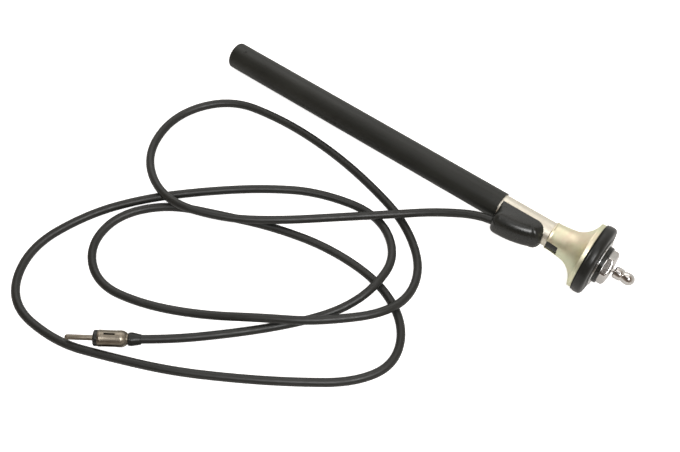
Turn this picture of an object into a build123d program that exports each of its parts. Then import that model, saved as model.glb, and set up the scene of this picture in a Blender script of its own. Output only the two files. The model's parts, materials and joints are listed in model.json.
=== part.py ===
"""Pull-up telescopic car-radio aerial with its coaxial lead, lying on a flat surface.

Frame: +X from the closed tail to the mast tip, +Z up, origin on the surface under the middle of
the aerial. The tail and the pad touch the surface, so the aerial's axis climbs a little.
Every piece of the aerial is drawn about its own axis: local Z is the station from the tail, local
X is up and local Y is the side on which the lead comes out. The plug's pieces are drawn about the
plug's axis in the same way, from the pin's tip. Millimetres throughout.
"""

import math
import os

from build123d import *

# Barrel: a plated steel tube in a plastic sheath
SHEATH_RADIUS = 8.6
SHEATH_END = 204.0
SHEATH_FLOOR = 1.2
SHEATH_ROUNDING = 1.5
TUBE_RADIUS = 7.7
TUBE_BORE = 6.95
TUBE_END = 252.0
PRESS_GAP = 0.05
CUT_MARGIN = 1.0
DRAIN_RADIUS = 1.5
DRAIN_PLUG_END = 8.9
SHEATH_DIMPLE_STATION = 9.5
PUNCH_MARK_STATION = 207.5
MARK_RADIUS = 0.8
MARK_DEPTH = 0.35

# Insulation and the contact that takes the signal off the mast
LINER_RADIUS = 6.9
LINER_BORE = 5.7
LINER_START = 9.0
CONTACT_START = 212.6
CONTACT_END = 234.4
CONTACT_RADIUS = 6.3
CONTACT_GAP = 0.02
INSULATOR_START = 212.0
INSULATOR_SHOULDER = 246.0
INSULATOR_END = 272.0
INSULATOR_NECK_RADIUS = 5.75
INSULATOR_THROAT = 4.05
KEY_START = 238.6
KEY_END = 245.6
KEY_WIDTH = 5.8
KEY_RADIUS = 8.0
KEY_ANGLE = 9.0
KEY_PLAY = 0.2

# Threaded head that goes up through the car's wing
SPIGOT_SKIRT_START = 246.5
SPIGOT_SKIRT_RADIUS = 6.9
SPIGOT_COLLAR_RADIUS = 7.7
SPIGOT_COLLAR_END = 254.0
SPIGOT_END = 274.6
THREAD_RADIUS = 7.0
SPIGOT_BORE = 5.8

# Bell bracket that bites under the wing
BELL_NECK_START = 238.0
BELL_NECK_RADIUS = 8.5
BELL_NECK_BORE = 7.75
BELL_NECK_END = 240.5
BELL_NECK_BORE_END = 241.5
# Widening over the neck's radius, and station, at the foot and the middle of the flare
BELL_FLARE_FOOT = (1.3, 251.0)
BELL_FLARE_MIDDLE = (4.2, 255.7)
BELL_WALL = 0.9
BELL_RIM_START = 260.0
BELL_RIM_END = 263.0
BELL_RIM_RADIUS = 20.4
BELL_RIM_WALL = 1.6
BELL_SLOT_WIDTH = 6.6
BELL_SLOT_END = 246.2

# Stack clamped on top of the wing
FACE_GAP = 0.05
PAD_RADIUS = 21.5
PAD_END = 270.0
PAD_SIDE_END = 267.6
PAD_SHOULDER_RADIUS = 19.6
PAD_SHOULDER_STATION = 269.2
PAD_NOSE_RADIUS = 14.6
PAD_BORE = 7.3
PAD_ROUNDING = 0.6
WASHER_RADIUS = 14.2
WASHER_END = 270.6
STACK_BORE = 7.1
COLLAR_RADIUS = 11.4
COLLAR_END = 273.0
NUT_ACROSS_FLATS = 18.4
NUT_END = 277.4
NUT_CHAMFER_RADIUS = 7.8
NUT_CHAMFER_DROP = 1.5
NUT_BORE = 7.08
NUT_BORE_END = 276.1
NUT_MOUTH = 4.8
SEAL_START = 274.85
SEAL_RADIUS = 6.95
SEAL_BORE = 4.15

# Mast: three drawn tubes, a rod and a turned tip, each with its own slide bush
# (outer radius, bore, first station, last station, throat radius)
MAST_SECTIONS = {
    "mast_lower": (4.0, 3.45, 12.0, 272.0, 3.05),
    "mast_middle": (3.0, 2.5, 14.0, 273.5, 2.15),
    "mast_upper": (2.1, 1.6, 16.0, 275.0, 1.25),
}
THROAT_LENGTH = 4.0
ROD_RADIUS = 1.2
ROD_START = 18.0
ROD_END = 281.5
BUSH_FIT = 0.02
# (outer radius, radius of the section it sits on, first station, length)
MAST_BUSHES = {
    "bush_lower": (5.65, 4.0, 12.0, 10.0),
    "bush_middle": (3.4, 3.0, 14.0, 6.0),
    "bush_upper": (2.45, 2.1, 16.0, 6.0),
    "rod_stop": (1.55, 1.2, 18.0, 6.0),
}
TIP_START = 279.0
TIP_BEAD_RADIUS = 3.7
TIP_BEAD_ROUNDING = 1.0
TIP_BEAD_END = 284.2
TIP_WAIST_RADIUS = 3.0
TIP_WAIST_END = 284.7
TIP_BALL_RADIUS = 3.6
TIP_END = 291.5

# Moulded cover over the cable joint, on the side of the barrel
COVER_RISE = 8.0
COVER_HALF_WIDTH = 8.4
COVER_EDGE_ROUNDING = 2.0
COVER_SHARP_STRIP = 2.0
COVER_INNER = 1.6
# (distance from the axis, station) along the cover's outline: three-point arcs at its tail and toe
COVER_TAIL = [(13.4, 205.0), (15.3, 205.6), (15.9, 207.6)]
COVER_BACK = (14.8, 219.5)
COVER_TOE = [(9.9, 232.4), (9.2, 234.0), (7.6, 234.6)]
COVER_SLOPE = (4.0, 231.0)
COVER_TOP_END = 227.5
COVER_POCKET_HALF_WIDTH = 3.2
COVER_POCKET = (6.5, 13.2, 206.0, 222.0)
CABLE_OFFSET = 11.9
CABLE_INNER_STATION = 209.0
CLAMP_START = 206.2
CLAMP_END = 208.6
CLAMP_WALL = 0.5
CLAMP_FOOT_HALF_WIDTH = 2.5
LEAD_RADIUS = 0.7
LEAD_TURN_STATION = 219.0
LEAD_TURN_RADIUS = 3.0
WIRE_WINDOW_RADIUS = 2.0
INSULATOR_WINDOW_RADIUS = 0.9

# Coaxial lead, with its route along the surface in the aerial's frame
CABLE_RADIUS = 2.6
CABLE_FIRST_RUN = 20.0
CABLE_LAST_RUN = 24.0
CABLE_ROUTE = [
    (31, -24, 15.5),
    (9, -36, 11),
    (-18, -58, 9.5),
    (-47, -82, 9.5),
    (-74, -100, 9.5),
    (-111, -113, 10.5),
    (-144, -94, 5),
    (-151, -58, 2.6),
    (-129, -27, 2.6),
    (-93, -20, 2.6),
    (-57, -20, 2.6),
    (-22, -25, 2.6),
    (15, -35, 2.6),
    (42, -57, 2.6),
    (45, -89, 10),
    (11, -121, 10),
    (-16, -137, 8),
    (-47, -155, 2.6),
    (-79, -170, 2.6),
    (-109, -176, 2.6),
    (-130, -161, 2.6),
    (-131, -135, 2.6),
    (-111, -111, 2.6),
    (-79, -97, 2.6),
    (-46, -84, 2.6),
    (-11, -76, 2.6),
    (26, -77, 2.6),
    (52, -91, 2.6),
    (61, -114, 2.6),
    (48, -136, 2.6),
    (20, -156, 2.6),
    (-7, -173, 2.6),
    (-39, -191, 2.6),
    (-72, -205, 2.6),
    (-104, -217, 2.6),
    (-143, -215, 2.6),
    (-159, -183, 2.6),
    (-146, -145, 2.6),
    (-125, -116, 2.6),
    (-98, -90, 2.6),
    (-70, -67, 2.6),
    (-41, -49, 2.6),
    (-2, -40, 2.6),
    (24, -58, 7),
    (26, -85, 10),
    (17, -106, 5),
    (0, -127, 2.6),
    (-24, -152, 2.6),
]

# Plug for a car radio's aerial socket, nose resting on the lead
PLUG_TIP = (-99.6, -211.9, 7.25)
PLUG_HEADING = 35.4
PLUG_DIP = 4.2
PIN_RADIUS = 1.55
PIN_LENGTH = 16.3
PIN_TAIL = 24.5
PIN_TAIL_RADIUS = 1.2
PIN_NOSE_ROUNDING = 0.8
PLUG_INSULATOR_RADIUS = 4.65
PLUG_INSULATOR_END = 18.7
PLUG_CORE_RADIUS = 3.3
PLUG_CORE_END = 28.5
SHELL_RADIUS = 4.85
SHELL_BORE = 3.9
SHELL_SIDE_END = 31.0
SHELL_END = 35.0
SHELL_END_RADIUS = 3.5
SHELL_SLOT_START = 22.4
SHELL_SLOT_END = 28.8
SHELL_SLOT_WIDTH = 1.1
SHELL_SLOTS = 4
SHELL_SLOT_TURN = -12.0
FERRULE_START = 29.0
FERRULE_END = 38.0
FERRULE_RADIUS = 3.3
PLUG_BOOT_START = 35.9
PLUG_BOOT_NOSE_RADIUS = 3.5
PLUG_BOOT_END = 43.3
PLUG_BOOT_RADIUS = 3.95
PLUG_BOOT_PEAK = 37.6
PLUG_BOOT_TAIL_RADIUS = 2.95
CABLE_PLUG_STATION = 30.5


def resting_pose():
    """Return the climb of the axis and the tail's place, with sheath and pad on the surface."""
    along = BELL_RIM_END + FACE_GAP + PAD_ROUNDING - SHEATH_ROUNDING
    across = (PAD_RADIUS - PAD_ROUNDING) - (SHEATH_RADIUS - SHEATH_ROUNDING)
    step = PAD_ROUNDING - SHEATH_ROUNDING
    climb = math.atan2(across, along) + math.asin(step / math.hypot(along, across))
    low, forward = math.sin(climb), math.cos(climb)
    tail_height = SHEATH_ROUNDING + (SHEATH_RADIUS - SHEATH_ROUNDING) * forward
    tail_height -= SHEATH_ROUNDING * low
    ball_centre = (TIP_END - TIP_BALL_RADIUS) * forward + TIP_BALL_RADIUS
    tail_x = (SHEATH_RADIUS * low - ball_centre) / 2
    return climb, tail_x, tail_height


CLIMB, TAIL_X, TAIL_Z = resting_pose()
AERIAL = Plane(
    origin=(TAIL_X, 0, TAIL_Z),
    x_dir=(-math.sin(CLIMB), 0, math.cos(CLIMB)),
    z_dir=(math.cos(CLIMB), 0, math.sin(CLIMB)),
)
def plug_frame():
    """The plug's own frame: Z from the pin's tip towards the lead, X as upright as that allows."""
    heading, dip = math.radians(PLUG_HEADING), math.radians(PLUG_DIP)
    level = (math.cos(heading), math.sin(heading))
    along = (level[0] * math.cos(dip), level[1] * math.cos(dip), -math.sin(dip))
    upright = (level[0] * math.sin(dip), level[1] * math.sin(dip), math.cos(dip))
    return Plane(origin=PLUG_TIP, x_dir=upright, z_dir=along)


PLUG = plug_frame()


def turned(*outline):
    """Revolve a closed outline of (radius, station) points about the local axis."""
    return revolve(Plane.XZ * make_face(Polyline(*outline, close=True)), Axis.Z)


def ring(outer, bore, start, end):
    return turned((bore, start), (outer, start), (outer, end), (bore, end))


def rod(radius, start, end):
    return Pos(0, 0, start) * Cylinder(radius, end - start, align=(Align.CENTER, Align.CENTER, Align.MIN))


def rim_edges(solid, radius, station):
    """The round edges of a given radius at a station."""
    return [
        edge
        for edge in solid.edges().filter_by(GeomType.CIRCLE)
        if abs(edge.radius - radius) < 0.01 and abs(edge.arc_center.Z - station) < 0.01
    ]


def side_hole(radius, station, angle, reach):
    """A cylinder that points out sideways, at an angle above the lead's side."""
    drill = Cylinder(radius, reach, align=(Align.CENTER, Align.CENTER, Align.MIN))
    return Rot(0, 0, -angle) * Pos(0, 0, station) * Rot(-90, 0, 0) * drill


def key_block(outer, width, start, end):
    """A radial block at the bell's key, from the middle of the wall out to a radius."""
    length = end - start
    bar = Box(width, outer, length, align=(Align.CENTER, Align.MIN, Align.MIN))
    return Rot(0, 0, -KEY_ANGLE) * Pos(0, 0, start) * bar & rod(outer, start, end)


def top_mark(radius, station):
    """A small round dent in the upper side of a barrel."""
    return Pos(radius - MARK_DEPTH, 0, station) * Rot(0, 90, 0) * Cylinder(
        MARK_RADIUS, 2 * MARK_DEPTH, align=(Align.CENTER, Align.CENTER, Align.MIN)
    )


def protective_sheath():
    body = rod(SHEATH_RADIUS, 0, SHEATH_END)
    body = fillet(rim_edges(body, SHEATH_RADIUS, 0), SHEATH_ROUNDING)
    body -= rod(TUBE_RADIUS + PRESS_GAP, SHEATH_FLOOR, SHEATH_END)
    body -= rod(DRAIN_RADIUS, 0, SHEATH_FLOOR)
    return body - top_mark(SHEATH_RADIUS, SHEATH_DIMPLE_STATION)


def housing_tube():
    body = ring(TUBE_RADIUS, TUBE_BORE, SHEATH_FLOOR, TUBE_END)
    body -= top_mark(TUBE_RADIUS, PUNCH_MARK_STATION)
    body -= side_hole(WIRE_WINDOW_RADIUS, LEAD_TURN_STATION, COVER_RISE, TUBE_RADIUS + CUT_MARGIN)
    return body - key_block(
        TUBE_RADIUS + CUT_MARGIN, KEY_WIDTH + 2 * KEY_PLAY, KEY_START - KEY_PLAY, KEY_END + KEY_PLAY
    )


def drain_plug():
    return ring(LINER_RADIUS, DRAIN_RADIUS, SHEATH_FLOOR, DRAIN_PLUG_END)


def guide_liner():
    return ring(LINER_RADIUS, LINER_BORE, LINER_START, INSULATOR_START)


def contact_sleeve():
    return ring(CONTACT_RADIUS, LINER_BORE, CONTACT_START, CONTACT_END)


def head_insulator():
    body = turned(
        (CONTACT_RADIUS + CONTACT_GAP, INSULATOR_START),
        (LINER_RADIUS, INSULATOR_START),
        (LINER_RADIUS, INSULATOR_SHOULDER),
        (INSULATOR_NECK_RADIUS, INSULATOR_SHOULDER),
        (INSULATOR_NECK_RADIUS, INSULATOR_END),
        (INSULATOR_THROAT, INSULATOR_END),
        (INSULATOR_THROAT, CONTACT_END + CONTACT_GAP),
        (CONTACT_RADIUS + CONTACT_GAP, CONTACT_END + CONTACT_GAP),
    )
    key = key_block(KEY_RADIUS, KEY_WIDTH, KEY_START, KEY_END)
    body += key - rod((LINER_RADIUS + INSULATOR_THROAT) / 2, KEY_START, KEY_END)
    return body - side_hole(
        INSULATOR_WINDOW_RADIUS, LEAD_TURN_STATION, COVER_RISE, TUBE_RADIUS
    )


def threaded_spigot():
    return turned(
        (SPIGOT_BORE, SPIGOT_SKIRT_START),
        (SPIGOT_SKIRT_RADIUS, SPIGOT_SKIRT_START),
        (SPIGOT_SKIRT_RADIUS, TUBE_END),
        (SPIGOT_COLLAR_RADIUS, TUBE_END),
        (SPIGOT_COLLAR_RADIUS, SPIGOT_COLLAR_END),
        (THREAD_RADIUS, SPIGOT_COLLAR_END),
        (THREAD_RADIUS, SPIGOT_END),
        (SPIGOT_BORE, SPIGOT_END),
    )


def bell_bracket():
    flare_start = (BELL_NECK_RADIUS + BELL_FLARE_FOOT[0], BELL_FLARE_FOOT[1])
    flare_middle = (BELL_NECK_RADIUS + BELL_FLARE_MIDDLE[0], BELL_FLARE_MIDDLE[1])
    flare_end = (BELL_RIM_RADIUS, BELL_RIM_START)
    outside = [
        Line((BELL_NECK_RADIUS, BELL_NECK_START), (BELL_NECK_RADIUS, BELL_NECK_END)),
        Line((BELL_NECK_RADIUS, BELL_NECK_END), flare_start),
        ThreePointArc(flare_start, flare_middle, flare_end),
        Line(flare_end, (BELL_RIM_RADIUS, BELL_RIM_END)),
    ]
    inner_start = (flare_start[0] - BELL_WALL, flare_start[1] + BELL_WALL)
    inner_middle = (flare_middle[0] - BELL_WALL, flare_middle[1] + BELL_WALL)
    inner_end = (BELL_RIM_RADIUS - BELL_RIM_WALL, BELL_RIM_START + BELL_WALL)
    inside = [
        Line((BELL_RIM_RADIUS, BELL_RIM_END), (inner_end[0], BELL_RIM_END)),
        Line((inner_end[0], BELL_RIM_END), inner_end),
        ThreePointArc(inner_end, inner_middle, inner_start),
        Line(inner_start, (BELL_NECK_BORE, BELL_NECK_BORE_END)),
        Line((BELL_NECK_BORE, BELL_NECK_BORE_END), (BELL_NECK_BORE, BELL_NECK_START)),
        Line((BELL_NECK_BORE, BELL_NECK_START), (BELL_NECK_RADIUS, BELL_NECK_START)),
    ]
    body = revolve(Plane.XZ * make_face(Curve() + outside + inside), Axis.Z)
    slot = Box(
        BELL_SLOT_WIDTH,
        BELL_RIM_RADIUS,
        BELL_SLOT_END - BELL_NECK_START,
        align=(Align.CENTER, Align.MIN, Align.MIN),
    )
    return body - Rot(0, 0, -KEY_ANGLE) * Pos(0, 0, BELL_NECK_START) * slot


def rubber_pad():
    start = BELL_RIM_END + FACE_GAP
    body = turned(
        (PAD_BORE, start),
        (PAD_RADIUS, start),
        (PAD_RADIUS, PAD_SIDE_END),
        (PAD_SHOULDER_RADIUS, PAD_SHOULDER_STATION),
        (PAD_NOSE_RADIUS, PAD_END),
        (PAD_BORE, PAD_END),
    )
    return fillet(rim_edges(body, PAD_RADIUS, start), PAD_ROUNDING)


def thrust_washer():
    return ring(WASHER_RADIUS, STACK_BORE, PAD_END, WASHER_END)


def insulating_collar():
    return ring(COLLAR_RADIUS, STACK_BORE, WASHER_END, COLLAR_END)


def cap_nut():
    corner = NUT_ACROSS_FLATS / math.sqrt(3)
    height = NUT_END - COLLAR_END
    body = Pos(0, 0, COLLAR_END) * extrude(RegularPolygon(corner, 6), amount=height)
    body &= turned(
        (0, COLLAR_END),
        (corner, COLLAR_END),
        (corner, NUT_END - NUT_CHAMFER_DROP),
        (NUT_CHAMFER_RADIUS, NUT_END),
        (0, NUT_END),
    )
    body -= rod(NUT_BORE, COLLAR_END, NUT_BORE_END)
    return body - rod(NUT_MOUTH, NUT_BORE_END, NUT_END)


def mast_seal():
    return ring(SEAL_RADIUS, SEAL_BORE, SEAL_START, NUT_BORE_END)


def mast_section(outer, bore, start, end, throat):
    """A drawn tube whose upper end is closed in to guide the next section."""
    return turned(
        (bore, start),
        (outer, start),
        (outer, end),
        (throat, end),
        (throat, end - THROAT_LENGTH),
        (bore, end - THROAT_LENGTH),
    )


def mast_tip():
    bead_face = TIP_BEAD_RADIUS - TIP_BEAD_ROUNDING
    bead_low = TIP_START + TIP_BEAD_ROUNDING
    bead_high = TIP_BEAD_END - TIP_BEAD_ROUNDING
    ball_centre = TIP_END - TIP_BALL_RADIUS
    ball_side = (TIP_BALL_RADIUS, ball_centre)
    ball_bend = TIP_BALL_RADIUS * math.sqrt(0.5)
    outline = [
        Line((0, TIP_START), (bead_face, TIP_START)),
        Line((bead_face, TIP_START), (TIP_BEAD_RADIUS, bead_low)),
        Line((TIP_BEAD_RADIUS, bead_low), (TIP_BEAD_RADIUS, bead_high)),
        Line((TIP_BEAD_RADIUS, bead_high), (TIP_WAIST_RADIUS, TIP_BEAD_END)),
        Line((TIP_WAIST_RADIUS, TIP_BEAD_END), (TIP_WAIST_RADIUS, TIP_WAIST_END)),
        Line((TIP_WAIST_RADIUS, TIP_WAIST_END), ball_side),
        ThreePointArc(ball_side, (ball_bend, ball_centre + ball_bend), (0, TIP_END)),
        Line((0, TIP_END), (0, TIP_START)),
    ]
    body = revolve(Plane.XZ * make_face(Curve() + outline), Axis.Z)
    return body - rod(ROD_RADIUS + BUSH_FIT, TIP_START, ROD_END)


def joint_cover():
    tail_start = (COVER_INNER, COVER_TAIL[0][1])
    top_end = (COVER_INNER, COVER_TOP_END)
    outline = [
        Line(tail_start, COVER_TAIL[0]),
        ThreePointArc(*COVER_TAIL),
        ThreePointArc(COVER_TAIL[2], COVER_BACK, COVER_TOE[0]),
        ThreePointArc(*COVER_TOE),
        Line(COVER_TOE[2], COVER_SLOPE),
        Line(COVER_SLOPE, top_end),
        Line(top_end, tail_start),
    ]
    face = Plane.YZ * make_face(Curve() + outline)
    body = extrude(face, amount=COVER_HALF_WIDTH, both=True)
    clear_of_tube = COVER_SLOPE[0] + COVER_SHARP_STRIP
    side_edges = body.edges().filter_by_position(Axis.Y, clear_of_tube, SHEATH_RADIUS * 2)
    side_edges = [edge for edge in side_edges if abs(edge.center().X) > COVER_HALF_WIDTH - 0.01]
    body = fillet(side_edges, COVER_EDGE_ROUNDING)
    tail, toe = COVER_TAIL[0][1] - COVER_EDGE_ROUNDING, COVER_TOE[2][1] + COVER_EDGE_ROUNDING
    body -= rod(TUBE_RADIUS + PRESS_GAP, tail, toe)
    low, high, start, end = COVER_POCKET
    body -= Pos(0, (low + high) / 2, (start + end) / 2) * Box(
        2 * COVER_POCKET_HALF_WIDTH, high - low, end - start
    )
    cable_axis = Pos(0, CABLE_OFFSET, 0)
    body -= cable_axis * rod(CABLE_RADIUS + CONTACT_GAP, tail, start)
    body -= cable_axis * rod(CABLE_RADIUS + CLAMP_WALL + PRESS_GAP, start, CABLE_INNER_STATION)
    return Rot(0, 0, -COVER_RISE) * body


def earth_clamp():
    """A ring on the cable's screen with a foot welded to the tube."""
    outer = CABLE_RADIUS + CLAMP_WALL
    foot = Pos(0, 0, CLAMP_START) * Box(
        2 * CLAMP_FOOT_HALF_WIDTH,
        CABLE_OFFSET,
        CLAMP_END - CLAMP_START,
        align=(Align.CENTER, Align.MIN, Align.MIN),
    )
    body = foot + Pos(0, CABLE_OFFSET, 0) * rod(outer, CLAMP_START, CLAMP_END)
    body -= Pos(0, CABLE_OFFSET, 0) * rod(CABLE_RADIUS, CLAMP_START, CLAMP_END)
    body -= rod(TUBE_RADIUS, CLAMP_START, CLAMP_END)
    return Rot(0, 0, -COVER_RISE) * body


def centre_lead():
    """The cable's inner conductor, from the cable's end in to the contact sleeve."""
    path = FilletPolyline(
        (0, CABLE_OFFSET, CABLE_INNER_STATION),
        (0, CABLE_OFFSET, LEAD_TURN_STATION),
        (0, CONTACT_RADIUS, LEAD_TURN_STATION),
        radius=LEAD_TURN_RADIUS,
    )
    start = Plane(origin=(0, CABLE_OFFSET, CABLE_INNER_STATION), z_dir=(0, 0, 1))
    wire = sweep(start * Circle(LEAD_RADIUS), path=path)
    wire -= rod(CONTACT_RADIUS, CONTACT_START, CONTACT_END)
    return Rot(0, 0, -COVER_RISE) * wire


def cable_points():
    """The whole route, from inside the cover to inside the plug."""
    rise = math.radians(COVER_RISE)
    up, side = CABLE_OFFSET * math.sin(rise), CABLE_OFFSET * math.cos(rise)
    start = AERIAL.from_local_coords(Vector(up, side, CABLE_INNER_STATION))
    leave = AERIAL.from_local_coords(Vector(up, side, CABLE_INNER_STATION - CABLE_FIRST_RUN))
    arrive = PLUG.from_local_coords(Vector(0, 0, CABLE_PLUG_STATION + CABLE_LAST_RUN))
    end = PLUG.from_local_coords(Vector(0, 0, CABLE_PLUG_STATION))
    return [start, leave] + [Vector(*point) for point in CABLE_ROUTE] + [arrive, end]


def corner_radii(points):
    radii = []
    for before, corner, after in zip(points, points[1:], points[2:]):
        shorter = min((corner - before).length, (after - corner).length)
        turn = (corner - before).get_angle(after - corner)
        radii.append(0.45 * shorter / math.tan(math.radians(turn) / 2))
    return radii


def coax_cable():
    points = cable_points()
    radii = corner_radii(points)
    path = FilletPolyline(*points, radius=radii)
    start = Plane(origin=points[0], z_dir=points[1] - points[0])
    tube = sweep(start * Circle(CABLE_RADIUS), path=path)
    print("cable radii", [round(radius) for radius in radii])
    expected = math.pi * CABLE_RADIUS**2 * path.length
    print(f"cable length {path.length:.0f} mm, volume {tube.volume:.0f} of {expected:.0f}")
    return tube


def plug_pin():
    body = fillet(rim_edges(rod(PIN_RADIUS, 0, PIN_LENGTH), PIN_RADIUS, 0), PIN_NOSE_ROUNDING)
    return body + rod(PIN_TAIL_RADIUS, PIN_LENGTH, PIN_TAIL)


def plug_insulator():
    return turned(
        (PIN_TAIL_RADIUS, PIN_LENGTH),
        (PLUG_INSULATOR_RADIUS, PIN_LENGTH),
        (PLUG_INSULATOR_RADIUS, PLUG_INSULATOR_END),
        (PLUG_CORE_RADIUS, PLUG_INSULATOR_END),
        (PLUG_CORE_RADIUS, PLUG_CORE_END),
        (0, PLUG_CORE_END),
        (0, PIN_TAIL),
        (PIN_TAIL_RADIUS, PIN_TAIL),
    )


def plug_shell():
    body = turned(
        (SHELL_BORE, PLUG_INSULATOR_END),
        (SHELL_RADIUS, PLUG_INSULATOR_END),
        (SHELL_RADIUS, SHELL_SIDE_END),
        (SHELL_END_RADIUS, SHELL_END),
        (FERRULE_RADIUS + BUSH_FIT, SHELL_END),
        (FERRULE_RADIUS + BUSH_FIT, SHELL_SIDE_END),
        (SHELL_BORE, SHELL_SIDE_END),
    )
    length = SHELL_SLOT_END - SHELL_SLOT_START
    depth = SHELL_RADIUS + CUT_MARGIN
    slot = Box(SHELL_SLOT_WIDTH, depth, length, align=(Align.CENTER, Align.MIN, Align.MIN))
    for number in range(SHELL_SLOTS):
        turn = SHELL_SLOT_TURN + number * 360 / SHELL_SLOTS
        body -= Rot(0, 0, turn) * Pos(0, 0, SHELL_SLOT_START) * slot
    return body


def plug_ferrule():
    return ring(FERRULE_RADIUS, CABLE_RADIUS, FERRULE_START, FERRULE_END)


def plug_boot():
    return turned(
        (FERRULE_RADIUS, PLUG_BOOT_START),
        (PLUG_BOOT_NOSE_RADIUS, PLUG_BOOT_START),
        (PLUG_BOOT_RADIUS, PLUG_BOOT_PEAK),
        (PLUG_BOOT_TAIL_RADIUS, PLUG_BOOT_END),
        (CABLE_RADIUS, PLUG_BOOT_END),
        (CABLE_RADIUS, FERRULE_END),
        (FERRULE_RADIUS, FERRULE_END),
    )


def aerial_pieces():
    pieces = {
        "protective_sheath": protective_sheath(),
        "housing_tube": housing_tube(),
        "drain_plug": drain_plug(),
        "guide_liner": guide_liner(),
        "contact_sleeve": contact_sleeve(),
        "head_insulator": head_insulator(),
        "threaded_spigot": threaded_spigot(),
        "bell_bracket": bell_bracket(),
        "rubber_pad": rubber_pad(),
        "thrust_washer": thrust_washer(),
        "insulating_collar": insulating_collar(),
        "cap_nut": cap_nut(),
        "mast_seal": mast_seal(),
        "mast_rod": rod(ROD_RADIUS, ROD_START, ROD_END),
        "mast_tip": mast_tip(),
        "joint_cover": joint_cover(),
        "earth_clamp": earth_clamp(),
        "centre_lead": centre_lead(),
    }
    for name, sizes in MAST_SECTIONS.items():
        pieces[name] = mast_section(*sizes)
    for name, (outer, inner, start, length) in MAST_BUSHES.items():
        pieces[name] = ring(outer, inner + BUSH_FIT, start, start + length)
    return pieces


def plug_pieces():
    return {
        "plug_pin": plug_pin(),
        "plug_insulator": plug_insulator(),
        "plug_shell": plug_shell(),
        "plug_ferrule": plug_ferrule(),
        "plug_boot": plug_boot(),
    }


def main():
    os.makedirs("parts", exist_ok=True)
    placed = {name: AERIAL * piece for name, piece in aerial_pieces().items()}
    placed |= {name: PLUG * piece for name, piece in plug_pieces().items()}
    placed["coax_cable"] = coax_cable()
    for name, piece in placed.items():
        export_step(piece, f"parts/{name}.step")
    print(f"climb {math.degrees(CLIMB):.4f} deg, tail at {TAIL_X:.4f}, {TAIL_Z:.4f}")


main()
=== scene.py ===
"""Looks of the telescopic car-radio aerial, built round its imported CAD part.

Metres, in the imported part's frame: +X from the closed tail to the mast tip, +Z up. Pieces of the
aerial are drawn about its own axis, and pieces of the plug about the plug's: local Z is the station
along the axis, local X is up, and local Y is the side nearer the camera.
"""

import json
import math

import bmesh
import bpy
from mathutils import Matrix, Vector


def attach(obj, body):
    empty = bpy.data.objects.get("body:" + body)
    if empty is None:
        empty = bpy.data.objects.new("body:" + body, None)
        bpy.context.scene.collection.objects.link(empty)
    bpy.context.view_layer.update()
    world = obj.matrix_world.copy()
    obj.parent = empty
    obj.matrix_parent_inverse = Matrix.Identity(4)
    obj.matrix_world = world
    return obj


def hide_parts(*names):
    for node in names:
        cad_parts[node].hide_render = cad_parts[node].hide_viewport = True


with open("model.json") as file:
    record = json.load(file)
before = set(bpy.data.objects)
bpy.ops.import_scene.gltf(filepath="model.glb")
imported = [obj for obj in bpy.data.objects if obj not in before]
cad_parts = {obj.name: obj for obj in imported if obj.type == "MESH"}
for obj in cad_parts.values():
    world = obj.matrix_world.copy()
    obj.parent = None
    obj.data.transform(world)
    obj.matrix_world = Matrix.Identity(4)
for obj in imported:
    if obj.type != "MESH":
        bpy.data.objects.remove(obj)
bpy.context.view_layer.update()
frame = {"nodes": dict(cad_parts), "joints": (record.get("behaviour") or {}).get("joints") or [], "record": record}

MM = 0.001

# ---------------------------------------------------------------- the aerial's and the plug's frames


def joint_axis(name):
    return Vector(next(joint["axis"] for joint in frame["joints"] if joint["name"] == name))


def mount(name):
    return next(row for row in frame["record"]["mounts"] if row["name"] == name)


def axis_frame(point, axis):
    """A matrix whose Z runs along the axis, with X as near upright as that allows."""
    z = axis.normalized()
    x = (Vector((0, 0, 1)) - z * z.z).normalized()
    place = Matrix((x, z.cross(x), z)).transposed().to_4x4()
    place.translation = point
    return place


def first_station(node, place):
    """The lowest station of a CAD node along an axis."""
    back = place.inverted()
    return min((back @ vertex.co).z for vertex in frame["nodes"][node].data.vertices)


def moved_to_start(place, node):
    """The same frame with its origin slid to the node's first station."""
    return place @ Matrix.Translation((0, 0, first_station(node, place)))


AERIAL = moved_to_start(
    axis_frame(Vector(mount("barrel_clamp")["pos_m"]), joint_axis("lower_slide")), "protective_sheath"
)
PLUG = moved_to_start(
    axis_frame(Vector(mount("plug_pin")["pos_m"]), -Vector(mount("plug_pin")["axis"])), "plug_pin"
)

# ---------------------------------------------------------------- the lead

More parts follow.
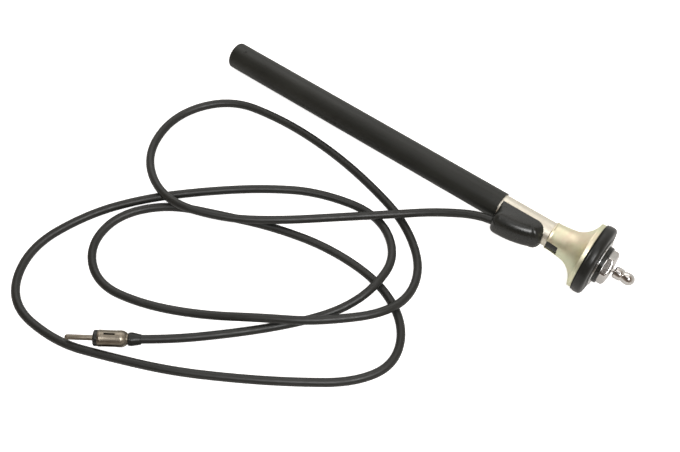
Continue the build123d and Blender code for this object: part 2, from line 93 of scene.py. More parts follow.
CABLE_RADIUS = 2.6 * MM
CABLE_OFFSET = 11.9 * MM
COVER_RISE = math.radians(8)
CABLE_INNER_STATION = 209 * MM
CABLE_FIRST_RUN = 10 * MM
CABLE_PLUG_STATION = 30.5 * MM
CABLE_LAST_RUN = 24 * MM
CABLE_ROUTE = [
    (0.028, -0.023, 0.0130),
    (0.009, -0.036, 0.0088),
    (-0.018, -0.058, 0.0083),
    (-0.047, -0.082, 0.0083),
    (-0.074, -0.100, 0.0083),
    (-0.111, -0.113, 0.0098),
    (-0.144, -0.094, 0.0050),
    (-0.151, -0.058, 0.0026),
    (-0.129, -0.027, 0.0026),
    (-0.093, -0.020, 0.0026),
    (-0.057, -0.020, 0.0026),
    (-0.022, -0.025, 0.0026),
    (0.015, -0.035, 0.0026),
    (0.042, -0.057, 0.0026),
    (0.045, -0.089, 0.0095),
    (0.011, -0.121, 0.0092),
    (-0.016, -0.137, 0.0080),
    (-0.047, -0.155, 0.0026),
    (-0.079, -0.170, 0.0026),
    (-0.109, -0.176, 0.0026),
    (-0.130, -0.161, 0.0026),
    (-0.131, -0.135, 0.0026),
    (-0.111, -0.111, 0.0026),
    (-0.079, -0.097, 0.0026),
    (-0.046, -0.084, 0.0026),
    (-0.011, -0.076, 0.0026),
    (0.026, -0.077, 0.0026),
    (0.052, -0.091, 0.0026),
    (0.061, -0.114, 0.0026),
    (0.048, -0.136, 0.0026),
    (0.020, -0.156, 0.0026),
    (-0.007, -0.173, 0.0026),
    (-0.039, -0.191, 0.0026),
    (-0.072, -0.205, 0.0026),
    (-0.104, -0.217, 0.0026),
    (-0.143, -0.215, 0.0026),
    (-0.159, -0.183, 0.0026),
    (-0.146, -0.145, 0.0026),
    (-0.125, -0.116, 0.0026),
    (-0.098, -0.090, 0.0026),
    (-0.070, -0.067, 0.0026),
    (-0.041, -0.049, 0.0026),
    (-0.002, -0.040, 0.0026),
    (0.024, -0.058, 0.0070),
    (0.026, -0.085, 0.0094),
    (0.017, -0.106, 0.0050),
    (0.000, -0.127, 0.0026),
    (-0.024, -0.152, 0.0026),
]


def lead_points():
    """The whole route, from inside the cover to inside the plug."""
    up, side = CABLE_OFFSET * math.sin(COVER_RISE), CABLE_OFFSET * math.cos(COVER_RISE)
    start = AERIAL @ Vector((up, side, CABLE_INNER_STATION))
    leave = AERIAL @ Vector((up, side, CABLE_INNER_STATION - CABLE_FIRST_RUN))
    arrive = PLUG @ Vector((0, 0, CABLE_PLUG_STATION + CABLE_LAST_RUN))
    end = PLUG @ Vector((0, 0, CABLE_PLUG_STATION))
    return [start, leave] + [Vector(point) for point in CABLE_ROUTE] + [arrive, end]


def make_lead():
    curve = bpy.data.curves.new("coax_lead", "CURVE")
    curve.dimensions = "3D"
    curve.bevel_depth = 1.0  # times each point's own radius, which is what the curve's box goes by
    curve.bevel_resolution = 6
    curve.resolution_u = 16
    curve.use_fill_caps = True
    spline = curve.splines.new("NURBS")
    points = lead_points()
    spline.points.add(len(points) - 1)
    for knot, place in zip(spline.points, points):
        knot.co = (*place, 1)
        knot.radius = CABLE_RADIUS
    spline.order_u = 3
    spline.use_endpoint_u = True
    lead = bpy.data.objects.new("coax_lead", curve)
    bpy.context.scene.collection.objects.link(lead)
    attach(lead, "barrel")
    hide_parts("coax_cable")
    return lead


lead = make_lead()

# ---------------------------------------------------------------- materials

materials = {}

# Sockets of a colour Mix node, whose names are shared with its number and vector sockets
MIX_SHARE, MIX_ONE, MIX_OTHER = 0, 6, 7
MIX_RESULT = 2


def fill_ramp(node, stops):
    """Sets a colour ramp's stops. Each is (place, grey or colour)."""
    elements = node.color_ramp.elements
    while len(elements) < len(stops):
        elements.new(0.5)
    for element, (place, colour) in zip(elements, stops):
        element.position = place
        grey = isinstance(colour, (int, float))
        element.color = (colour, colour, colour, 1) if grey else (*colour, 1)


class Surface:
    """A Principled material with short calls for the nodes that these surfaces share."""

    def __init__(self, name):
        self.material = bpy.data.materials.new(name)
        self.material.use_nodes = True
        self.tree = self.material.node_tree
        self.shader = self.tree.nodes["Principled BSDF"]
        self.coords = self.tree.nodes.new("ShaderNodeTexCoord").outputs["Object"]
        materials[name] = self.material

    def set(self, **values):
        """Fixed values on the shader's own sockets, such as Coat_Weight=0.2."""
        for key, value in values.items():
            self.shader.inputs[key.replace("_", " ")].default_value = value

    def about(self, place, stretch=(1, 1, 1)):
        """Coordinates turned into a piece's own axis frame, then stretched."""
        turn = self.tree.nodes.new("ShaderNodeMapping")
        turn.vector_type = "POINT"
        back = place.inverted()
        turn.inputs["Rotation"].default_value = back.to_euler()
        turn.inputs["Location"].default_value = back.translation
        self.tree.links.new(self.coords, turn.inputs["Vector"])
        scale = self.tree.nodes.new("ShaderNodeMapping")
        scale.inputs["Scale"].default_value = stretch
        self.tree.links.new(turn.outputs["Vector"], scale.inputs["Vector"])
        return scale.outputs["Vector"]

    def noise(self, scale, detail=3.0, roughness=0.5, vector=None, distortion=0.0):
        node = self.tree.nodes.new("ShaderNodeTexNoise")
        node.inputs["Scale"].default_value = scale
        node.inputs["Detail"].default_value = detail
        node.inputs["Roughness"].default_value = roughness
        node.inputs["Distortion"].default_value = distortion
        self.tree.links.new(vector or self.coords, node.inputs["Vector"])
        return node.outputs["Fac"]

    def ramp(self, value, stops):
        """A colour ramp over a value."""
        node = self.tree.nodes.new("ShaderNodeValToRGB")
        fill_ramp(node, stops)
        self.tree.links.new(value, node.inputs["Fac"])
        return node.outputs["Color"]

    def mix(self, share, one, other):
        """Mixes two colours, each an output or a fixed colour."""
        node = self.tree.nodes.new("ShaderNodeMix")
        node.data_type = "RGBA"
        for index, value in ((MIX_SHARE, share), (MIX_ONE, one), (MIX_OTHER, other)):
            socket = node.inputs[index]
            if isinstance(value, bpy.types.NodeSocket):
                self.tree.links.new(value, socket)
            else:
                socket.default_value = (*value, 1) if isinstance(value, tuple) else value
        return node.outputs[MIX_RESULT]

    def colour(self, value):
        self.tree.links.new(value, self.shader.inputs["Base Color"])

    def rough(self, value):
        self.tree.links.new(value, self.shader.inputs["Roughness"])

    def bump(self, value, distance, strength):
        """Adds a bump on top of any earlier one. Distance is in metres."""
        node = self.tree.nodes.new("ShaderNodeBump")
        node.inputs["Distance"].default_value = distance
        node.inputs["Strength"].default_value = strength
        self.tree.links.new(value, node.inputs["Height"])
        normal = self.shader.inputs["Normal"]
        if normal.is_linked:
            self.tree.links.new(normal.links[0].from_socket, node.inputs["Normal"])
        self.tree.links.new(node.outputs["Normal"], normal)
        return self


def sheath_plastic():
    s = Surface("sheath_plastic")
    drawn = s.about(AERIAL, (1, 1, 0.06))
    streaks = s.noise(900, 4, vector=drawn)
    cloud = s.noise(28, 4)
    grain = s.noise(2600, 2)
    tone = s.ramp(cloud, [(0.30, (0.010, 0.011, 0.009)), (0.72, (0.018, 0.019, 0.016))])
    patches = s.noise(60, 6, 0.75, vector=s.about(AERIAL, (1, 1, 0.35)))
    scuffs = s.ramp(patches, [(0.62, 0.0), (0.80, 0.35)])
    s.colour(s.mix(scuffs, tone, (0.055, 0.055, 0.050)))
    s.rough(s.ramp(streaks, [(0.25, 0.40), (0.75, 0.52)]))
    s.bump(grain, 0.00004, 0.5).bump(streaks, 0.00005, 0.35)
    s.set(Specular_IOR_Level=0.42)


def cable_jacket():
    s = Surface("cable_jacket")
    cloud = s.noise(45, 3)
    grain = s.noise(2400, 2)
    ripple = s.noise(260, 3)
    s.colour(s.ramp(cloud, [(0.30, (0.010, 0.011, 0.010)), (0.72, (0.019, 0.020, 0.018))]))
    s.rough(s.ramp(ripple, [(0.25, 0.36), (0.75, 0.50)]))
    s.bump(grain, 0.00003, 0.45).bump(ripple, 0.00006, 0.3)


def black_plastic():
    s = Surface("black_plastic")
    cloud = s.noise(70, 3)
    grain = s.noise(3000, 2)
    s.colour(s.ramp(cloud, [(0.30, (0.010, 0.011, 0.010)), (0.72, (0.020, 0.021, 0.018))]))
    s.rough(s.ramp(s.noise(320, 4), [(0.25, 0.24), (0.75, 0.32)]))
    s.bump(grain, 0.00002, 0.4)
    s.set(Specular_IOR_Level=0.44)


def black_rubber():
    s = Surface("black_rubber")
    cloud = s.noise(90, 4)
    grain = s.noise(2200, 3)
    s.colour(s.ramp(cloud, [(0.28, (0.009, 0.010, 0.009)), (0.75, (0.019, 0.020, 0.018))]))
    s.rough(s.ramp(s.noise(420, 4), [(0.25, 0.29), (0.75, 0.40)]))
    s.set(Specular_IOR_Level=0.36)
    s.bump(grain, 0.00005, 0.45)


def metal(name, dark, light, rough_low, rough_high, ring_bump=0.3, place=AERIAL):
    """A bright metal with turning rings and faint clouding."""
    s = Surface(name)
    rings = s.noise(1400, 3, vector=s.about(place, (0.05, 0.05, 1)))
    cloud = s.noise(110, 5, 0.6)
    s.colour(s.ramp(cloud, [(0.30, dark), (0.70, light)]))
    s.rough(s.ramp(rings, [(0.25, rough_low), (0.75, rough_high)]))
    s.bump(rings, 0.00003, ring_bump)
    s.set(Metallic=1.0)


def yellow_zinc():
    s = Surface("yellow_zinc")
    cloud = s.noise(75, 5, 0.62, distortion=0.6)
    hue = s.noise(38, 4, 0.55, distortion=1.2)
    rings = s.noise(1100, 3, vector=s.about(AERIAL, (0.05, 0.05, 1)))
    straw = s.ramp(cloud, [(0.30, (0.68, 0.67, 0.46)), (0.70, (0.85, 0.84, 0.62))])
    green, buff, pink = (0.75, 0.80, 0.60), (0.84, 0.81, 0.60), (0.88, 0.68, 0.56)
    tint = s.ramp(hue, [(0.40, green), (0.55, buff), (0.70, pink)])
    s.colour(s.mix(0.55, straw, tint))
    s.rough(s.ramp(rings, [(0.25, 0.40), (0.75, 0.52)]))
    s.bump(rings, 0.00003, 0.35)
    s.set(Metallic=1.0)


def plain_inside(name, dark, light, roughness, metallic=0.0):
    """A piece that only shows in a cut or at a pose: a clouded colour with a fine grain."""
    s = Surface(name)
    s.colour(s.ramp(s.noise(90, 4), [(0.30, dark), (0.70, light)]))
    s.rough(s.ramp(s.noise(500, 3), [(0.25, roughness - 0.05), (0.75, roughness + 0.05)]))
    s.bump(s.noise(1800, 2), 0.00003, 0.3)
    s.set(Metallic=metallic)


sheath_plastic()
cable_jacket()
black_plastic()
black_rubber()
yellow_zinc()
metal("plated_steel", (0.70, 0.65, 0.55), (0.83, 0.79, 0.69), 0.38, 0.50)
metal("chrome", (0.60, 0.58, 0.56), (0.71, 0.69, 0.67), 0.10, 0.16, 0.06)
metal("steel_washer", (0.66, 0.66, 0.65), (0.78, 0.78, 0.77), 0.18, 0.28)
metal("nickel", (0.20, 0.172, 0.135), (0.33, 0.295, 0.24), 0.31, 0.45, 0.2, place=PLUG)
metal("brass", (0.66, 0.48, 0.22), (0.78, 0.62, 0.32), 0.22, 0.34)
plain_inside("natural_plastic", (0.66, 0.64, 0.58), (0.78, 0.76, 0.70), 0.45)
plain_inside("copper", (0.60, 0.30, 0.18), (0.74, 0.42, 0.28), 0.30, 1.0)

# ---------------------------------------------------------------- shapes


def arc(start, middle, end, steps=8):
    """Points along the arc through three points, the last one left out."""
    ax, ay = start
    bx, by = middle
    cx, cy = end
    twice = 2 * (ax * (by - cy) + bx * (cy - ay) + cx * (ay - by))
    a2, b2, c2 = ax * ax + ay * ay, bx * bx + by * by, cx * cx + cy * cy
    ux = (a2 * (by - cy) + b2 * (cy - ay) + c2 * (ay - by)) / twice
    uy = (a2 * (cx - bx) + b2 * (ax - cx) + c2 * (bx - ax)) / twice
    radius = math.hypot(ax - ux, ay - uy)
    first = math.atan2(ay - uy, ax - ux)
    turn = (math.atan2(cy - uy, cx - ux) - first) % math.tau
    if (math.atan2(by - uy, bx - ux) - first) % math.tau > turn:
        turn -= math.tau
    angles = [first + turn * step / steps for step in range(steps)]
    return [(ux + radius * math.cos(angle), uy + radius * math.sin(angle)) for angle in angles]


def rounded(corners, steps=4):
    """An outline in mm from corners (radius, station) or (radius, station, rounding)."""
    outline = []
    for index, (x, y, *rounding) in enumerate(corners):
        if not rounding:
            outline.append((x, y))
            continue
        corner = Vector((x, y))
        sides = [Vector(corners[(index + step) % len(corners)][:2]) - corner for step in (-1, 1)]
        reach = [min(rounding[0], 0.45 * side.length) for side in sides]
        ends = [corner + side.normalized() * length for side, length in zip(sides, reach)]
        held = [end + side.normalized() * 0.1 * length for end, side, length in zip(ends, sides, reach)]
        outline.append(tuple(held[0]))
        for step in range(steps + 1):
            t = step / steps
            point = ends[0] * (1 - t) ** 2 + corner * 2 * t * (1 - t) + ends[1] * t**2
            outline.append(tuple(point))
        outline.append(tuple(held[1]))
    return outline


def to_object(name, vertices, faces, place, smooth_angle=35):
    """A smooth-shaded mesh from points in mm in a piece's own frame."""
    mesh = bpy.data.meshes.new(name)
    mesh.from_pydata([place @ (Vector(vertex) * MM) for vertex in vertices], [], faces)
    work = bmesh.new()
    work.from_mesh(mesh)
    bmesh.ops.remove_doubles(work, verts=work.verts, dist=1e-7)
    bmesh.ops.recalc_face_normals(work, faces=work.faces)
    work.to_mesh(mesh)
    work.free()
    shade(mesh, smooth_angle)
    piece = bpy.data.objects.new(name, mesh)
    bpy.context.scene.collection.objects.link(piece)
    return piece


def shade(mesh, angle):
    mesh.shade_smooth()
    mesh.set_sharp_from_angle(angle=math.radians(angle))


def lathe(name, outline, place, around=96, smooth_angle=35, radius_at=None):
    """Turns a closed outline of (radius, station) about the axis. radius_at(radius, station, angle)
    reshapes it round the axis."""
    vertices, faces = [], []
    count = len(outline)
    for turn in range(around):
        angle = math.tau * turn / around
        for radius, station in outline:
            if radius_at:
                radius = radius_at(radius, station, angle)
            vertices.append((radius * math.cos(angle), radius * math.sin(angle), station))
    for turn in range(around):
        here, there = turn * count, (turn + 1) % around * count
        for index in range(count):
            after = (index + 1) % count
            if outline[index][0] > 0 or outline[after][0] > 0:
                faces.append((here + index, here + after, there + after, there + index))
    return to_object(name, vertices, faces, place, smooth_angle)


def cut(piece, tool, smooth_angle=35):
    """Takes a tool's shape out of a piece, for good, and removes the tool."""
    modifier = piece.modifiers.new("cut", "BOOLEAN")
    modifier.operation = "DIFFERENCE"
    modifier.solver = "EXACT"
    modifier.object = tool
    bpy.context.view_layer.update()
    graph = bpy.context.evaluated_depsgraph_get()
    mesh = bpy.data.meshes.new_from_object(piece.evaluated_get(graph))
    piece.modifiers.clear()
    piece.data = mesh
    mesh.name = piece.name
    bpy.data.objects.remove(tool)
    shade(mesh, smooth_angle)


def bar(place, x, y, z):
    """A cutting block between two values along each local axis, in mm."""
    vertices = [(a, b, c) for a in x for b in y for c in z]
    faces = [(0, 1, 3, 2), (4, 6, 7, 5), (0, 4, 5, 1), (2, 3, 7, 6), (0, 2, 6, 4), (1, 5, 7, 3)]
    return to_object("cutter", vertices, faces, place)


def pin(place, radius, start, end, around=64):
    """A cutting cylinder along local Z, in mm."""
    return lathe("cutter", [(0, start), (radius, start), (radius, end), (0, end)], place, around)


def stands_for(piece, node, slot):
    """A detailed piece that shows instead of a CAD node and rides on the same body."""
    bodies = frame["record"]["behaviour"]["bodies"]
    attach(piece, next(body for body, members in bodies.items() if node in members))
    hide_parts(node)
    piece.data.materials.append(materials[slot])


def ease(value, low, high):
    """0 below low, 1 above high, smooth between."""
    t = min(1.0, max(0.0, (value - low) / (high - low)))
    return t * t * (3 - 2 * t)


# ---------------------------------------------------------------- moulded joint cover

COVER_TAIL = 205.0
COVER_HALF_WIDTH = 8.4
COVER_SPINE_DISTANCE = 7.0
COVER_SPINE_START = 211.0
COVER_SPINE_END = 226.5
COVER_ROUNDING = 6.6
COVER_SHARP_ROUNDING = 0.45
COVER_SHARP_WITHIN = 2.0
COVER_SOFT_BEYOND = 9.0
COVER_TAIL_SHARE = 0.75
COVER_TAIL_END = 209.5
COVER_FIT = 0.06
COVER_POCKET = ((-3.2, 3.2), (6.5, 13.2), (206.0, 222.0))
CABLE_FIT = 0.05
TUBE_RADIUS = 7.7


def cover_outline():
    """(distance from the axis, station) round the cover, seen from above, in mm."""
    outline = [(distance, COVER_TAIL) for distance in (1.6, 4.0, 7.0, 10.0)]
    outline += arc((12.3, COVER_TAIL), (15.4, 206.3), (16.7, 209.6), 10)
    outline += arc((16.7, 209.6), (15.8, 219.6), (12.2, 231.2), 14)
    outline += arc((12.2, 231.2), (10.5, 234.4), (7.2, 235.3), 8)
    outline += arc((7.2, 235.3), (3.4, 232.8), (1.6, 226.4), 8)
    outline += [(1.6, station) for station in (226.4, 222.0, 216.5, 211.0)]
    return outline


def cover_edge(distance, station):
    """How round the cover's rim is there: sharp along the tube, soft outside, less so at the tail."""
    outside = ease(distance, COVER_SHARP_WITHIN, COVER_SOFT_BEYOND)
    along = COVER_TAIL_SHARE + (1 - COVER_TAIL_SHARE) * ease(station, COVER_TAIL, COVER_TAIL_END)
    return COVER_SHARP_ROUNDING + (COVER_ROUNDING - COVER_SHARP_ROUNDING) * outside * along


def inward(distance, station, depth):
    """The outline's point moved towards the spine of the cover."""
    nearest = min(COVER_SPINE_END, max(COVER_SPINE_START, station))
    to_spine = Vector((COVER_SPINE_DISTANCE, nearest)) - Vector((distance, station))
    return Vector((distance, station)) + to_spine.normalized() * depth


def make_cover():
    outline = cover_outline()
    half_steps = 8
    rings = []
    for side in (1, -1):
        levels = []
        for step in range(half_steps + 1):
            bend = math.pi / 2 * (1 - step / half_steps)
            ring = []
            for distance, station in outline:
                edge = cover_edge(distance, station)
                point = inward(distance, station, edge * (1 - math.cos(bend)))
                ring.append((side * (COVER_HALF_WIDTH - edge * (1 - math.sin(bend))), *point))
            levels.append(ring)
        rings += levels if side > 0 else levels[::-1]
    count = len(outline)
    vertices = [vertex for ring in rings for vertex in ring]
    faces = [tuple(range(count)), tuple((len(rings) - 1) * count + index for index in range(count))]
    for level in range(len(rings) - 1):
        for index in range(count):
            after = (index + 1) % count
            low, high = level * count, (level + 1) * count
            faces.append((low + index, low + after, high + after, high + index))
    place = AERIAL @ Matrix.Rotation(-COVER_RISE, 4, "Z")
    cover = to_object("moulded_cover", vertices, faces, place)
    cut(cover, pin(AERIAL, TUBE_RADIUS + COVER_FIT, 200, 240, 160))
    cable = place @ Matrix.Translation((0, CABLE_OFFSET, 0))
    cut(cover, pin(cable, CABLE_RADIUS / MM + CABLE_FIT, 200, 207))
    cut(cover, bar(place, *COVER_POCKET))
    stands_for(cover, "joint_cover", "black_plastic")


# ---------------------------------------------------------------- turned and pressed pieces of the head

KEY_ANGLE = math.radians(9)
KEY_SLOT_HALF_WIDTH = 3.3
KEY_SLOT_END = 246.2


def make_bell():
    """A pressed bell with a cut neck, a flare, and a thicker lip round its rim."""
    outline = arc((7.78, 238.0), (8.45, 238.15), (8.64, 238.65), 6) + [(8.62, 238.95), (8.44, 239.25)]
    outline += [(8.42, 239.6), (8.5, 240.2), (8.62, 242.0)]
    outline += [(8.95, 245.0), (9.3, 248.0)]
    outline += arc((9.8, 251.0), (12.7, 255.7), (20.0, 260.0), 22)
    lip = [(20.2, 260.05, 0.15), (20.4, 260.6, 0.3), (20.4, 263.0, 0.35), (18.9, 263.0, 0.2)]
    outline += rounded(lip)
    outline += arc((18.6, 260.9), (11.8, 256.6), (8.95, 251.9), 18)
    outline += [(8.95, 251.9), (8.3, 247.0), (7.8, 242.0)]
    bell = lathe("pressed_bell", outline, AERIAL, 160, 50)
    slot = AERIAL @ Matrix.Rotation(-KEY_ANGLE, 4, "Z")
    sides = (-KEY_SLOT_HALF_WIDTH, KEY_SLOT_HALF_WIDTH)
    cut(bell, bar(slot, sides, (2.0, 14.0), (236.0, KEY_SLOT_END)), 50)
    stands_for(bell, "bell_bracket", "yellow_zinc")


def make_pad():
    """The rubber pad, with soft shoulders and a shallow groove inside its rim."""
    outline = rounded([(7.3, 263.05, 0.2), (21.5, 263.05, 0.6)])
    outline += [(21.5, 264.6), (21.5, 266.4)]
    outline += arc((21.45, 267.2), (20.95, 268.5), (19.6, 269.25), 8)
    outline += arc((19.6, 269.25), (18.3, 269.45), (17.0, 269.3), 5)
    outline += arc((17.0, 269.3), (15.9, 269.25), (14.8, 269.9), 5)
    outline += rounded([(14.6, 270.0, 0.15), (7.3, 270.0, 0.2)])
    stands_for(lathe("sealing_pad", outline, AERIAL, 144, 60), "rubber_pad", "black_rubber")


def make_washer():
    outline = rounded([(7.1, 270.0, 0.12), (14.2, 270.0, 0.12), (14.2, 270.6, 0.12), (7.1, 270.6, 0.12)])
    stands_for(lathe("bright_washer", outline, AERIAL, 128, 50), "thrust_washer", "steel_washer")


def make_collar():
    outline = rounded([(7.1, 270.6, 0.2), (11.4, 270.6, 0.35), (11.4, 273.0, 0.5), (7.1, 273.0, 0.2)])
    piece = lathe("moulded_collar", outline, AERIAL, 128, 50)
    stands_for(piece, "insulating_collar", "black_plastic")


NUT_FLAT = 9.2
NUT_CORNER = 10.55
NUT_ROUND_INSIDE = 7.5
NUT_SHARPNESS = 60


def hexagonal(radius, station, angle):
    """Keeps a point inside the nut's flats, with slightly rounded corners."""
    if radius < NUT_ROUND_INSIDE:
        return radius
    from_flat = (angle + math.pi / 6) % (math.pi / 3) - math.pi / 6
    flat = NUT_FLAT / math.cos(from_flat)
    return (flat**-NUT_SHARPNESS + radius**-NUT_SHARPNESS) ** (-1 / NUT_SHARPNESS)


def make_nut():
    outline = [(7.08, 273.0), (9.6, 273.0), (10.1, 273.02), (10.4, 273.15), (NUT_CORNER, 273.4)]
    outline += [(NUT_CORNER, 273.8 + 0.25 * step) for step in range(9)]
    outline += arc((NUT_CORNER, 275.9), (9.7, 276.75), (7.8, 277.3), 9)
    outline += [(7.8, 277.3), (7.4, 277.38), (7.0, 277.4), (5.3, 277.4), (4.95, 277.35), (4.8, 277.15)]
    outline += [(4.8, 276.1), (7.08, 276.1)]
    turn = AERIAL @ Matrix.Rotation(math.pi / 6, 4, "Z")
    nut = lathe("hexagon_nut", outline, turn, 240, 45, radius_at=hexagonal)
    stands_for(nut, "cap_nut", "chrome")


def make_tip():
    """Bead, waist and ball, turned in one piece."""
    outline = [(0, 279.0), (2.2, 279.0), (2.6, 279.03)]
    outline += arc((2.8, 279.1), (3.48, 279.55), (3.7, 280.3), 6)
    outline += [(3.7, 280.3), (3.7, 281.5), (3.7, 282.7)]
    outline += arc((3.7, 282.7), (3.5, 283.6), (3.06, 284.2), 6)
    outline += arc((3.06, 284.2), (2.97, 284.45), (3.05, 284.7), 4)
    outline += arc((3.05, 284.7), (3.466, 286.3), (3.6, 287.9), 8)
    outline += arc((3.6, 287.9), (2.546, 290.446), (0, 291.5), 16)
    outline += [(0, 291.5)]
    stands_for(lathe("bead_and_ball", outline, AERIAL, 96, 50), "mast_tip", "chrome")


# ---------------------------------------------------------------- the plug

SHELL_SLOTS = 4
SHELL_SLOT_TURN = -12
SHELL_SLOT_HALF_WIDTH = 0.55
SHELL_SLOT_SPAN = (22.4, 28.8)
CRIMP_START = 36.5
CRIMP_END = 42
CRIMP_DEPTH = 0.22
BOOT_NOSE_RADIUS = 3.6


def crimped(radius, station, angle):
    """Two shallow flats that the crimping tool left on the boot."""
    if radius < BOOT_NOSE_RADIUS or not CRIMP_START < station < CRIMP_END:
        return radius
    share = ease(station, CRIMP_START, 37.5) * (1 - ease(station, 39.0, CRIMP_END))
    return radius - CRIMP_DEPTH * share * max(0.0, math.cos(2 * angle)) ** 3


def make_plug():
    pin_outline = [(0, 0)] + arc((0, 0), (0.95, 0.28), (1.5, 1.15), 8) + [(1.5, 1.15), (1.55, 1.7)]
    pin_outline += [(1.55, 9.0), (1.55, 16.2), (1.55, 16.3), (1.2, 16.3), (1.2, 24.5), (0, 24.5)]
    stands_for(lathe("contact_pin", pin_outline, PLUG, 64, 50), "plug_pin", "nickel")

    nose = [(1.2, 16.3, 0.1), (4.65, 16.3, 0.9), (4.65, 18.7, 0.1)]
    core = [(3.3, 18.7), (3.3, 28.5), (1.2, 28.5)]
    insulator = lathe("nose_insulator", rounded(nose + core), PLUG, 96, 50)
    stands_for(insulator, "plug_insulator", "black_plastic")

    shell = rounded([(3.9, 18.7, 0.1), (4.75, 18.7, 0.25)]) + [(4.82, 19.3), (4.85, 20.1)]
    shell += rounded([(4.85, 20.6, 0.2), (4.76, 20.8, 0.15)])
    shell += [(4.74, 22.0), (4.74, 25.5), (4.76, 29.1), (4.80, 29.7), (4.84, 30.3)]
    shell += arc((4.85, 31.2), (4.62, 33.3), (3.9, 34.7), 10)
    shell += rounded([(3.9, 34.7), (3.62, 35.0, 0.15), (3.32, 35.0, 0.05)])
    shell += [(3.32, 31.0), (3.9, 31.0)]
    barrel = lathe("plug_barrel", shell, PLUG, 128, 50)
    sides = (-SHELL_SLOT_HALF_WIDTH, SHELL_SLOT_HALF_WIDTH)
    for number in range(SHELL_SLOTS):
        turn = 360 * number / SHELL_SLOTS + SHELL_SLOT_TURN
        slot = PLUG @ Matrix.Rotation(math.radians(turn), 4, "Z")
        cut(barrel, bar(slot, (2.0, 6.0), sides, SHELL_SLOT_SPAN), 50)
    stands_for(barrel, "plug_shell", "nickel")

    boot = [(2.62, 38.0), (3.3, 38.0), (3.3, 35.92), (3.45, 35.92)]
    boot += arc((3.5, 35.98), (3.78, 36.35), (3.88, 36.95), 5)
    boot += arc((3.88, 36.95), (3.95, 38.0), (3.76, 39.2), 6)
    boot += [(3.76, 39.2), (3.55, 40.3), (3.34, 41.4), (3.12, 42.5), (3.0, 43.0)]
    boot += [(2.9, 43.28), (2.62, 43.3)]
    piece = lathe("crimp_boot", boot, PLUG, 96, 60, radius_at=crimped)
    stands_for(piece, "plug_boot", "black_rubber")


# ---------------------------------------------------------------- CAD finishes, detailed pieces, cord

for part in frame["record"]["subparts"]:
    node = frame["nodes"][part["node"]]
    node.data.materials.clear()
    node.data.materials.append(materials[part["material_slot"]])
lead.data.materials.append(materials["cable_jacket"])
make_cover()
make_bell()
make_pad()
make_washer()
make_collar()
make_nut()
make_tip()
make_plug()

# ---------------------------------------------------------------- floor, light and camera

FLOOR_HALF = 3.0
DIM_SIDE = (0.0, -0.5, 0.866)
# The room, from opposite its dim side (0), round by the walls, to the dim side itself (1)
ROOM = [
    (0.0, (0.86, 0.87, 0.84)),
    (0.45, (0.74, 0.73, 0.70)),
    (0.74, (0.46, 0.39, 0.33)),
    (0.88, (0.17, 0.135, 0.110)),
    (1.0, (0.08, 0.062, 0.050)),
]
TARGET = Vector((-0.0170, -0.0594, 0.0))
EYE = Vector((0.1392, -0.2737, 0.5128))
HEAD = AERIAL @ Vector((0, 0, 250 * MM))
FLOOR_GLOW = 0.72
FLOOR_IN_REFLECTIONS = (0.80, 0.80, 0.79, 1)
BACKDROP_WHITE = (1.2, 1.2, 1.2, 1)


def make_floor():
    mesh = bpy.data.meshes.new("floor")
    corners = [(-1, -1), (1, -1), (1, 1), (-1, 1)]
    mesh.from_pydata([(x * FLOOR_HALF, y * FLOOR_HALF, 0) for x, y in corners], [], [(0, 1, 2, 3)])
    floor = bpy.data.objects.new("floor", mesh)
    bpy.context.scene.collection.objects.link(floor)
    s = Surface("floor_white")
    s.colour(s.ramp(s.noise(3, 2), [(0.3, 0.90), (0.7, 0.93)]))
    s.set(Roughness=0.9, Specular_IOR_Level=0.1)
    s.set(Emission_Color=(1, 1, 1, 1), Emission_Strength=FLOOR_GLOW)
    dim = s.tree.nodes.new("ShaderNodeBsdfDiffuse")
    dim.inputs["Color"].default_value = FLOOR_IN_REFLECTIONS
    seen = s.tree.nodes.new("ShaderNodeLightPath")
    either = s.tree.nodes.new("ShaderNodeMixShader")
    s.tree.links.new(seen.outputs["Is Camera Ray"], either.inputs[0])
    s.tree.links.new(dim.outputs[0], either.inputs[1])
    s.tree.links.new(s.shader.outputs[0], either.inputs[2])
    s.tree.links.new(either.outputs[0], s.tree.nodes["Material Output"].inputs["Surface"])
    mesh.materials.append(s.material)


def area_light(name, place, width, height, energy, aim=TARGET):
    data = bpy.data.lights.new(name, "AREA")
    data.shape = "RECTANGLE"
    data.size = width
    data.size_y = height
    data.energy = energy
    light = bpy.data.objects.new(name, data)
    light.location = place
    light.rotation_euler = (aim - place).to_track_quat("-Z", "Y").to_euler()
    bpy.context.scene.collection.objects.link(light)


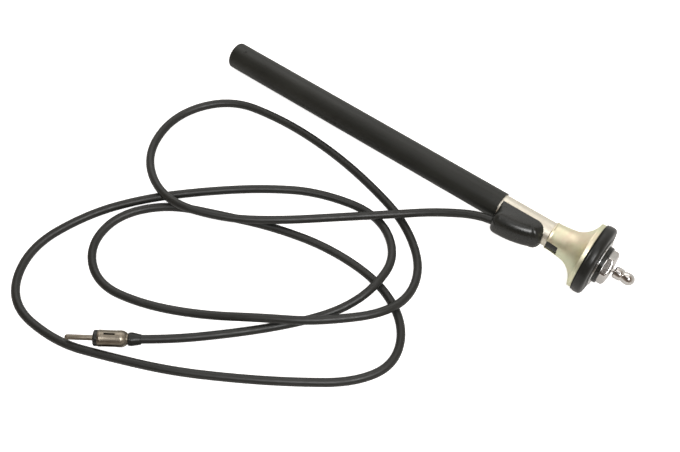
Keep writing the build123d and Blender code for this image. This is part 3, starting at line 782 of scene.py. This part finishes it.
def make_world():
    """A studio round the object: pale walls, and a dim warm ceiling over the near side."""
    world = bpy.data.worlds.new("studio")
    world.use_nodes = True
    tree = world.node_tree
    background = tree.nodes["Background"]
    coords = tree.nodes.new("ShaderNodeTexCoord")
    facing = tree.nodes.new("ShaderNodeVectorMath")
    facing.operation = "DOT_PRODUCT"
    facing.inputs[1].default_value = DIM_SIDE
    tree.links.new(coords.outputs["Generated"], facing.inputs[0])
    ramp = tree.nodes.new("ShaderNodeValToRGB")
    fill_ramp(ramp, ROOM)
    share = tree.nodes.new("ShaderNodeMapRange")
    share.inputs["From Min"].default_value = -1.0
    tree.links.new(facing.outputs["Value"], share.inputs["Value"])
    tree.links.new(share.outputs["Result"], ramp.inputs["Fac"])
    seen = tree.nodes.new("ShaderNodeLightPath")
    mix = tree.nodes.new("ShaderNodeMix")
    mix.data_type = "RGBA"
    tree.links.new(seen.outputs["Is Camera Ray"], mix.inputs[MIX_SHARE])
    tree.links.new(ramp.outputs["Color"], mix.inputs[MIX_ONE])
    mix.inputs[MIX_OTHER].default_value = BACKDROP_WHITE
    tree.links.new(mix.outputs[MIX_RESULT], background.inputs["Color"])
    bpy.context.scene.world = world


def make_camera():
    data = bpy.data.cameras.new("camera")
    data.lens = 50
    data.sensor_width = 36
    data.clip_start = 0.01
    camera = bpy.data.objects.new("camera", data)
    camera.location = EYE
    camera.rotation_euler = (TARGET - EYE).to_track_quat("-Z", "Y").to_euler()
    bpy.context.scene.collection.objects.link(camera)
    bpy.context.scene.camera = camera


make_floor()
away = Vector((TARGET.x - EYE.x, TARGET.y - EYE.y, 0)).normalized()
behind = TARGET + away * 0.80 + Vector((0, 0, 0.70))
above = TARGET + away * 0.20 + Vector((0, 0, 1.1))
over_head = HEAD + Vector((0.2, -0.4, 0.9)) * 0.9
area_light("soft_back", behind, width=1.1, height=0.6, energy=2.6)
area_light("soft_top", above, width=0.6, height=0.6, energy=1.4)
area_light("soft_key", over_head, width=0.30, height=0.30, energy=5.0, aim=HEAD)
make_world()
make_camera()
bpy.context.scene.view_settings.view_transform = "Standard"
